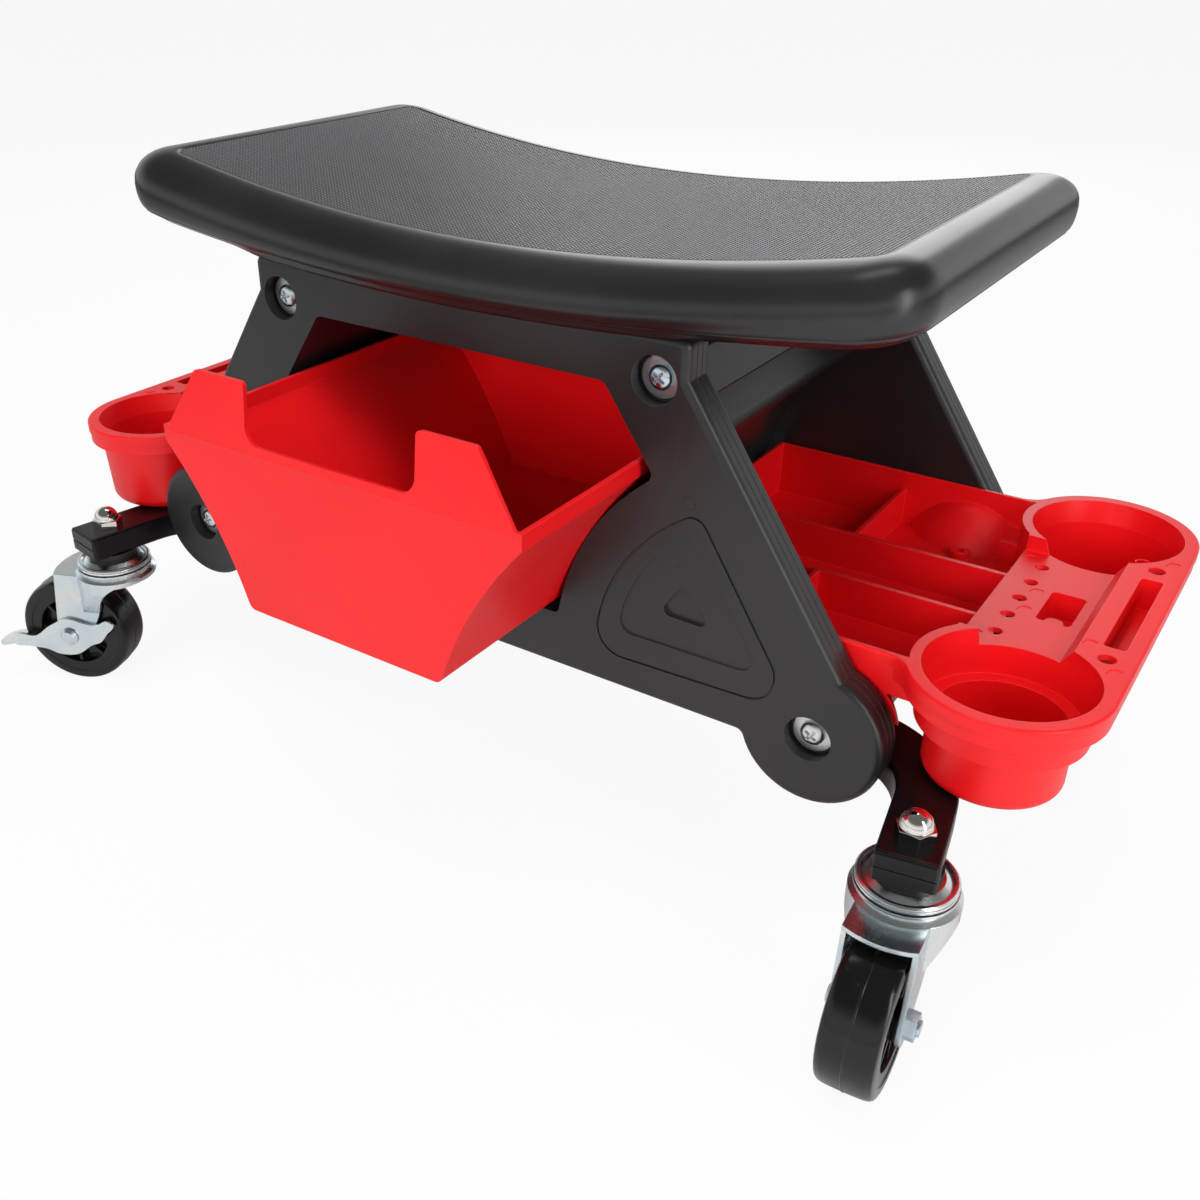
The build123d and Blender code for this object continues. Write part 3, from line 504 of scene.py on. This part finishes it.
loop, edge_loop = list(shell.verts), list(shell.edges)
for part in range(1, floor_loops + 1):
    if part > 1:
        loop, edge_loop = draw_loop(shell, edge_loop)
    near = part / floor_loops
    lay_loop(loop, panel_half_x * near, panel_half_y * near, panel_corner * near, panel_floor)
loop, edge_loop = draw_loop(shell, edge_loop)
lay_loop(
    loop, panel_half_x + ledge_gap, panel_half_y + ledge_gap, panel_corner,
    lambda x: saddle(x) - ledge_drop,
)
for degrees in rim_degrees:
    out = math.sin(math.radians(degrees))
    drop = rim_high * (1 - math.cos(math.radians(degrees)))
    loop, edge_loop = draw_loop(shell, edge_loop)
    lay_loop(
        loop, panel_half_x + rim_wide_x * out, panel_half_y + rim_wide_y * out,
        panel_corner + (rim_corner - panel_corner) * out, lambda x: saddle(x) - drop,
    )
rim_x, rim_y = panel_half_x + rim_wide_x, panel_half_y + rim_wide_y
for inward, down, proud in skirt_loops:
    loop, edge_loop = draw_loop(shell, edge_loop)
    in_by = skirt_in * inward - proud
    lay_loop(
        loop, rim_x - in_by, rim_y - in_by, rim_corner - in_by,
        lambda x: (saddle(x) - rim_high) * (1 - down) + skirt_low(x) * down,
    )
for part in (0.5, 1.0):
    loop, edge_loop = draw_loop(shell, edge_loop)
    lay_loop(
        loop, rim_x - skirt_in - lip_in_x * part, rim_y - skirt_in - lip_in_y * part,
        rim_corner - skirt_in - lip_in_y * part, lambda x: skirt_low(x) - lip_high * part,
    )
    for vert in loop:
        lean = max(0.0, min(1.0, (abs(vert.co.x) - lip_flat_x) / (lip_lean_x - lip_flat_x)))
        lean = lean * lean * (3 - 2 * lean) * lip_lean * part
        vert.co.y -= math.copysign(min(lean, abs(vert.co.y)), vert.co.y)
bmesh.ops.translate(shell, vec=(seat_shift, 0, 0), verts=shell.verts)
bmesh.ops.recalc_face_normals(shell, faces=shell.faces)
if max(shell.faces, key=lambda face: face.calc_center_median().z).normal.z < 0:
    bmesh.ops.reverse_faces(shell, faces=shell.faces)
seat_rim = moulded_black("seat_rim", rough=0.23, shine=0.5)
seat = piece("seat_shell", shell, seat_rim, "stool", ("seat",))
hollow = seat.modifiers.new("wall", "SOLIDIFY")
hollow.thickness = seat_wall
hollow.offset = -1.0

rib_half_thick = 0.0015
rib_deep = 0.012
rib_sink = 0.0022
rib_cuts = 39
rib_long = 0.4
block_half_z = 0.01
rib_ys = (-0.062, 0.0, 0.062)
rib_xs = (-0.180, -0.060, 0.060, 0.180)
pad_half_x, pad_half_y = 0.013, 0.075
pad_x = 0.123
pad_low = 0.3138
rib_half_x, rib_half_y = 0.239, 0.130

ribs = bmesh.new()
walls = [((0.0, y), (rib_half_x, rib_half_thick), None) for y in rib_ys]
walls += [((x, 0.0), (rib_half_thick, rib_half_y), None) for x in rib_xs]
for side in (-1, 1):
    for edge in (-1, 1):
        wall_x = side * pad_x + edge * (pad_half_x - rib_half_thick)
        wall_y = edge * (pad_half_y - rib_half_thick)
        walls.append(((wall_x, 0.0), (rib_half_thick, pad_half_y), pad_low))
        walls.append(((side * pad_x, wall_y), (pad_half_x, rib_half_thick), pad_low))
for (x, y), (half_x, half_y), low in walls:
    standing = set(ribs.verts)
    block = bmesh.ops.create_cube(ribs, size=2.0)["verts"]
    bmesh.ops.scale(ribs, vec=(half_x, half_y, block_half_z), verts=block)
    sides = {edge for vert in block for edge in vert.link_edges}
    along = [edge for edge in sides if edge.calc_length() > rib_long]
    if along:
        bmesh.ops.subdivide_edges(ribs, edges=along, cuts=rib_cuts, use_grid_fill=True)
    for vert in set(ribs.verts) - standing:
        place_x = vert.co.x + x
        place_y = vert.co.y + y
        out_x = (abs(place_x - seat_shift) - panel_half_x) / rim_wide_x
        out_y = (abs(place_y) - panel_half_y) / rim_wide_y
        out = max(0.0, out_x, out_y)
        top = saddle(place_x - seat_shift) - rib_sink
        foot = low or top - rib_deep
        top -= rim_high * (1 - math.sqrt(1 - out * out))
        vert.co = Vector((place_x, place_y, top if vert.co.z > 0 else foot))
bmesh.ops.recalc_face_normals(ribs, faces=ribs.faces)
piece("seat_ribs", ribs, seat_rim, "stool")

panel_sink = 0.00095
stud_pitch = 0.0024
stud_slope = 0.00078
stud_high = 0.00085

studs = bmesh.new()
bmesh.ops.create_grid(
    studs, x_segments=round(2 * panel_half_x / stud_pitch),
    y_segments=round(2 * panel_half_y / stud_pitch), size=1.0,
)
bmesh.ops.scale(studs, vec=(panel_half_x, panel_half_y, 1.0), verts=studs.verts)
cut_off = []
for face in studs.faces:
    middle = face.calc_center_median()
    over_x = abs(middle.x) - panel_half_x + panel_corner
    over_y = abs(middle.y) - panel_half_y + panel_corner
    if min(over_x, over_y) > 0 and math.hypot(over_x, over_y) > panel_corner:
        cut_off.append(face)
bmesh.ops.delete(studs, geom=cut_off, context="FACES")
bmesh.ops.inset_individual(studs, faces=studs.faces, thickness=stud_slope, depth=stud_high)
for vert in studs.verts:
    vert.co.z += saddle(vert.co.x) - panel_sink
bmesh.ops.translate(studs, vec=(seat_shift, 0, 0), verts=studs.verts)


def studded_black(name):
    material, point = new_finish(name)
    x, _, z = point.shifted((seat_shift, 0.0, saddle_z - panel_sink)).xyz()
    clouds = point.noise(7.0, 4.0)
    scratch = point.stretched((1.0, 6.0, 1.0)).noise(160.0, 4.0)
    # Stud tops are painted pale grey, a painted sheen, and the grooves between them near black, painted
    # shade; the panel is the same black plastic as the rim.
    high = (z - x * x / (2 * saddle_r)) / stud_high
    top = high.step(0.45, 1.0)
    close_finish(point, {
        "Base Color": top.tint((0.004, 0.004, 0.0044, 1), (0.092, 0.092, 0.097, 1)),
        "Roughness": 0.28 + clouds * 0.08 + scratch * 0.06,
        "Normal": (scratch + clouds).bumped(point.node("NewGeometry", out="Normal"), 0.00005),
        "IOR": 1.5,
    })
    return material


panel_finish = studded_black("seat_panel_black")
panel = piece("seat_panel", studs, panel_finish, "stool")
for polygon in panel.data.polygons:
    polygon.use_smooth = False


# Casters. Zinc plated kingpins with a pressed upper race, black seals, nickel plated cap nuts on
# top of the arms, pressed forks, and riveted brake levers on two of the four corners.

def nickel_plate(name):
    material, point = new_finish(name)
    haze = point.noise(90.0, 4.0)
    rounded = point.rounded(0.0005)
    close_finish(point, {
        "Base Color": haze.step(0.3, 0.8).tint((0.78, 0.76, 0.72, 1), (0.70, 0.68, 0.65, 1)),
        "Metallic": 1.0,
        "Roughness": 0.07 + haze.step(0.45, 0.8) * 0.08,
        "Normal": haze.bumped(rounded, 0.00002),
    })
    return material


cap_nickel = nickel_plate("cap_nickel")
dress(("cap_nuts",), cap_nickel)
seal_black = moulded_black("seal_black")
dress(("seal_washers",), seal_black)
race_zinc = zinc_plate("race_zinc", 1.1, 0.18)
dress(("kingpin_races",), race_zinc)
fork_zinc = zinc_plate("fork_zinc", 1.0, 0.22)
corners = {
    "front_right": (1, -1, 274.0), "front_left": (-1, -1, 203.0),
    "back_left": (-1, 1, 94.0), "back_right": (1, 1, 152.0),
}
for corner in corners:
    dress(["%s_%s" % (part, corner) for part in ("fork", "axle_bolt", "axle_nut", "wheel_bush")], fork_zinc)
lever_zinc = zinc_plate("lever_zinc", 1.05, 0.24)
dress(("brake_lever_front_left", "brake_lever_back_right"), lever_zinc)


# Wheels. Glossy black polypropylene, moulded in two halves that meet in a line round the
# tread, with a raised ring on each side and ribs in the dish round the hub.

pivot_x, pivot_y = 0.286, 0.159
trail = 0.0335
axle_z = 0.040
wheel_half_profile = (
    (0.0065, 0.0147), (0.0100, 0.0147), (0.0102, 0.0073), (0.0243, 0.0071), (0.0252, 0.0136),
    (0.0320, 0.0138), (0.0322, 0.0143), (0.0362, 0.0143), (0.0380, 0.0136), (0.0390, 0.0122),
    (0.0395, 0.0098), (0.0397, 0.0040), (0.0397, 0.0006), (0.0400, 0.0003), (0.0400, 0.0),
)
rib_count = 8
rib_thick = 0.0022
rib_in = 0.0095
rib_out = 0.0250
rib_half = 0.0121
round_steps = 96
wheel_edge = 0.0004


def wheel_black(name):
    material, point = new_finish(name)
    clouds = point.noise(30.0, 4.0)
    scuffs = point.noise(240.0, 5.0).step(0.60, 0.80)
    rounded = point.rounded(0.0005)
    edge_highlight = edge_highlight_mask(point, rounded)
    # Real scuffs, plus a painted highlight along the edges, both make the black lighter.
    scuffs_and_edge_highlight = (edge_highlight * 0.4 + scuffs * 0.10).lower(1.0)
    close_finish(point, {
        "Base Color": scuffs_and_edge_highlight.tint((0.0040, 0.0039, 0.0042, 1), (0.050, 0.050, 0.052, 1)),
        "Roughness": 0.14 + clouds * 0.08 + scuffs * 0.14,
        "Normal": (clouds * 0.7 + scuffs * 0.3).bumped(rounded, 0.00006),
        "Specular IOR Level": 0.4,
    })
    return material


wheel_finish = wheel_black("wheel_black")
for corner, (side_x, side_y, degrees) in corners.items():
    wheel = bmesh.new()
    profile = list(wheel_half_profile) + [(r, -h) for r, h in reversed(wheel_half_profile[:-1])]
    verts = [wheel.verts.new((r, 0.0, h)) for r, h in profile]
    loop = [wheel.edges.new(pair) for pair in zip(verts, verts[1:] + verts[:1])]
    bmesh.ops.spin(
        wheel, geom=verts + loop, cent=(0, 0, 0), axis=(0, 0, 1),
        angle=math.radians(360), steps=round_steps, use_merge=True,
    )
    bmesh.ops.remove_doubles(wheel, verts=wheel.verts, dist=0.00001)
    for index in range(rib_count):
        rib = bmesh.ops.create_cube(wheel, size=1.0)["verts"]
        long = rib_out - rib_in
        bmesh.ops.scale(wheel, vec=(long, rib_thick, 2 * rib_half), verts=rib)
        bmesh.ops.translate(wheel, vec=(rib_in + long / 2, 0, 0), verts=rib)
        turn = Matrix.Rotation(math.radians(index * 360 / rib_count), 3, "Z")
        bmesh.ops.rotate(wheel, cent=(0, 0, 0), matrix=turn, verts=rib)
    bmesh.ops.recalc_face_normals(wheel, faces=wheel.faces)
    place = Matrix.Translation((side_x * pivot_x, side_y * pivot_y, 0))
    place = place @ Matrix.Rotation(math.radians(degrees), 4, "Z") @ Matrix.Translation((trail, 0, axle_z))
    bmesh.ops.transform(wheel, matrix=place @ Matrix.Rotation(math.radians(90), 4, "X"), verts=wheel.verts)
    node = "wheel_" + corner
    made = piece("caster_wheel_" + corner, wheel, wheel_finish, node, (node,))
    softened(made, wheel_edge)


# Floor, light and camera. A plain pale floor under a white surround that darkens overhead, as
# black plastic and plated steel mirror it, and six soft lamps, three of which are mirrored. The
# camera stands where the photograph was taken from, right of the drawer and above the seat.

floor_half = 30.0
floor_glow = 0.92
wall_glow = 0.94
overhead_drop = 0.80
overhead_from, overhead_to = 0.26, 0.62
dim_glow = 0.15

floor_mesh = bmesh.new()
bmesh.ops.create_grid(floor_mesh, x_segments=1, y_segments=1, size=floor_half)
floor_data = bpy.data.meshes.new("studio_floor")
floor_mesh.to_mesh(floor_data)
floor_mesh.free()
floor = bpy.data.objects.new("studio_floor", floor_data)
bpy.context.scene.collection.objects.link(floor)
floor_finish, floor_point = new_finish("studio_white")
seen = floor_point.node("LightPath", out="Is Camera Ray")
matt = floor_point.node("BsdfDiffuse", inputs={"Color": (0.80, 0.80, 0.80, 1)})
glow = floor_point.node("Emission", inputs={"Color": (1, 1, 1, 1), "Strength": 1.0})
mixed = floor_point.node("MixShader", inputs={0: seen * floor_glow, 1: matt, 2: glow})
floor_point.node("OutputMaterial", inputs={"Surface": mixed})
floor_data.materials.append(floor_finish)

world = bpy.data.worlds.new("studio_air")
world.use_nodes = True
world.node_tree.nodes.clear()
air = Wire(world.node_tree)
paths = air.node("LightPath").socket.node.outputs
camera_ray, glossy_ray, glass_ray = (
    Wire(world.node_tree, paths[name]) for name in ("Is Camera Ray", "Is Glossy Ray", "Is Transmission Ray")
)
upward = air.node("TexCoord", out="Generated").xyz()[2]
wall = wall_glow - upward.step(overhead_from, overhead_to) * overhead_drop
shown = camera_ray.higher(glass_ray).higher(glossy_ray * wall)
sky = air.node("Background", inputs={"Color": (1, 1, 1, 1), "Strength": shown.higher(dim_glow)})
air.node("OutputWorld", inputs={"Surface": sky})
bpy.context.scene.world = world


def soft_lamp(name, place, target, size, watts, mirrored):
    data = bpy.data.lights.new(name, "AREA")
    data.shape = "RECTANGLE"
    data.size, data.size_y = size
    data.energy = watts
    lamp = bpy.data.objects.new(name, data)
    bpy.context.scene.collection.objects.link(lamp)
    lamp.location = place
    lamp.rotation_euler = (Vector(target) - Vector(place)).to_track_quat("-Z", "Y").to_euler()
    lamp.visible_glossy = mirrored


soft_lamp("lamp_above", (0.0, -0.5, 2.1), (0.0, 0.0, 0.3), (1.4, 1.0), 21.0, False)
soft_lamp("lamp_top", (-0.35, 0.50, 2.2), (0.0, 0.0, 0.3), (1.1, 0.45), 3.8, True)
soft_lamp("lamp_front", (0.1, -2.2, 0.85), (0.0, -0.1, 0.2), (1.4, 0.8), 28.0, False)
soft_lamp("lamp_side", (1.8, -0.7, 1.3), (0.2, 0.0, 0.2), (1.0, 1.0), 13.0, False)
soft_lamp("lamp_right", (1.4, -0.45, 0.7), (0.2, -0.1, 0.3), (0.25, 1.3), 6.5, True)
soft_lamp("lamp_back", (-0.70, 2.0, 1.2), (0.1, 0.0, 0.25), (1.5, 1.5), 12.0, True)

camera_data = bpy.data.cameras.new("photo_camera")
camera_data.sensor_width = 36.0
camera_data.lens = 37.665
camera_data.shift_x = 0.0433
camera_data.shift_y = -0.0067
camera = bpy.data.objects.new("photo_camera", camera_data)
bpy.context.scene.collection.objects.link(camera)
camera.location = (0.4035, -0.6261, 0.4982)
yaw, pitch = math.radians(34.62), math.radians(28.97)
ahead = Vector((-math.sin(yaw) * math.cos(pitch), math.cos(yaw) * math.cos(pitch), -math.sin(pitch)))
camera.rotation_euler = ahead.to_track_quat("-Z", "Y").to_euler()
bpy.context.scene.camera = camera
bpy.context.scene.view_settings.view_transform = "Standard"
